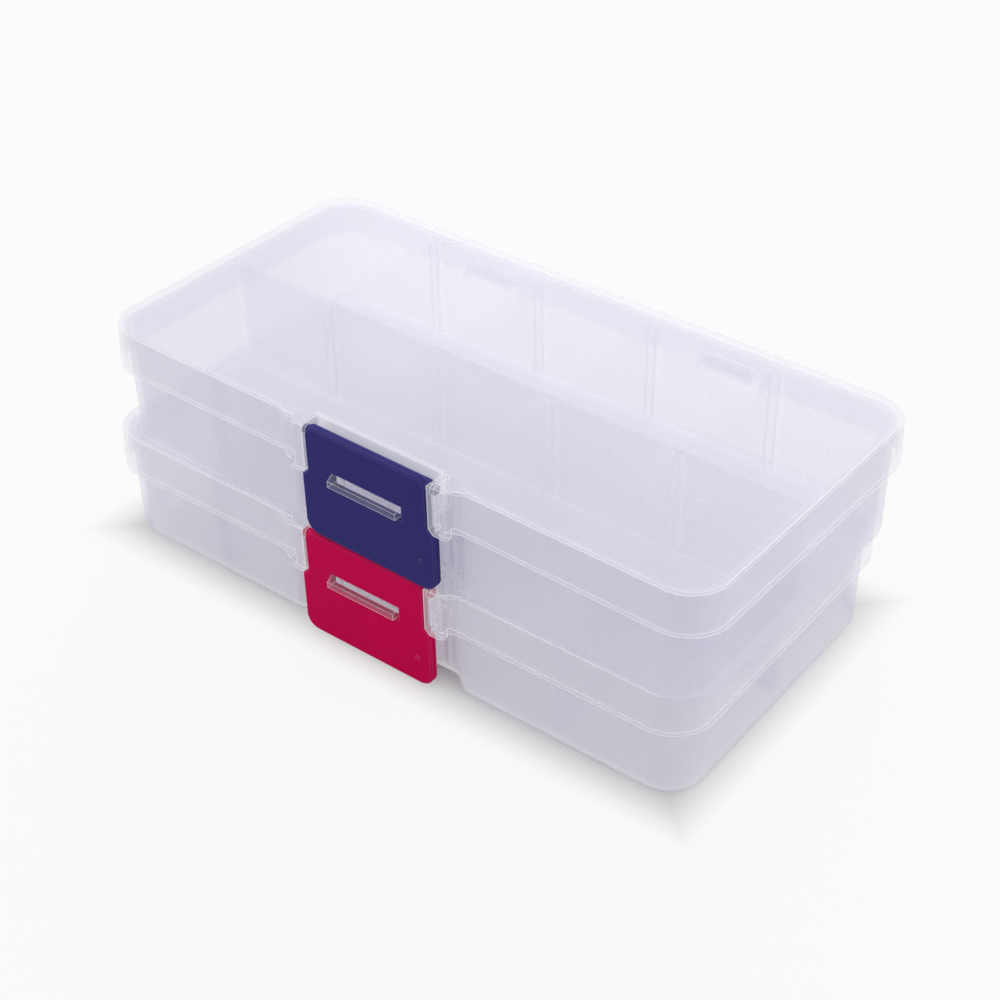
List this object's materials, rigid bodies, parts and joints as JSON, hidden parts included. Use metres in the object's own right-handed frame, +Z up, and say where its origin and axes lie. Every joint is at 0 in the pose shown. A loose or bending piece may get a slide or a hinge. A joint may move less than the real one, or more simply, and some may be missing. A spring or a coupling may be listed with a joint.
{
  "type": "stacked compartment tackle boxes",
  "caption": "Small clear plastic tackle boxes with divided trays, hinged lids and coloured front latches, stacked one on the other.",
  "frame": {"origin": "centre of the lower tray's flat underside", "axes": "+X along the long hinge side, +Y from the latches to the hinges, +Z up through the lids"},
  "size_m": [0.1346, 0.0708, 0.0462],
  "materials": {
    "clear_plastic": "frosted translucent polypropylene, smooth",
    "navy_plastic": "satin moulded polypropylene, dark violet blue",
    "crimson_plastic": "satin moulded polypropylene, crimson"
  },
  "bodies": {
    "lower_box": {"lower_tray": "clear_plastic", "lower_divider_front_1": "clear_plastic", "lower_divider_front_2": "clear_plastic", "lower_divider_front_3": "clear_plastic", "lower_divider_front_4": "clear_plastic", "lower_divider_rear_1": "clear_plastic", "lower_divider_rear_2": "clear_plastic", "lower_divider_rear_3": "clear_plastic", "lower_divider_rear_4": "clear_plastic"},
    "lower_lid": {"lower_lid": "clear_plastic"},
    "lower_latch": {"lower_latch": "crimson_plastic"},
    "upper_box": {"upper_tray": "clear_plastic", "upper_divider_front_1": "clear_plastic", "upper_divider_front_2": "clear_plastic", "upper_divider_front_3": "clear_plastic", "upper_divider_front_4": "clear_plastic", "upper_divider_rear_1": "clear_plastic", "upper_divider_rear_2": "clear_plastic", "upper_divider_rear_3": "clear_plastic", "upper_divider_rear_4": "clear_plastic"},
    "upper_lid": {"upper_lid": "clear_plastic"},
    "upper_latch": {"upper_latch": "navy_plastic"}
  },
  "joints": [
    {"name": "upper_box_lift", "type": "slide", "parent": "lower_box", "child": "upper_box", "axis": [0, 0, 1], "range_m": [0, 0.23]},
    {"name": "lower_lid_hinge", "type": "hinge", "parent": "lower_box", "child": "lower_lid", "pos_m": [0, 0.0333, 0.0159], "axis": [-1, 0, 0], "range_deg": [0, 180]},
    {"name": "lower_latch_pivot", "type": "hinge", "parent": "lower_lid", "child": "lower_latch", "pos_m": [0, -0.0322, 0.0211], "axis": [-1, 0, 0], "range_deg": [0, 90]},
    {"name": "upper_lid_hinge", "type": "hinge", "parent": "upper_box", "child": "upper_lid", "pos_m": [0.00398, 0.03261, 0.039], "axis": [-0.9998, 0.0202, 0], "range_deg": [0, 180]},
    {"name": "upper_latch_pivot", "type": "hinge", "parent": "upper_lid", "child": "upper_latch", "pos_m": [0.00266, -0.03287, 0.0442], "axis": [-0.9998, 0.0202, 0], "range_deg": [0, 90]}
  ],
  "couplings": [
    {"joint": "lower_lid_hinge", "follows": "upper_box_lift", "rad_per_m": 13.659}
  ]
}
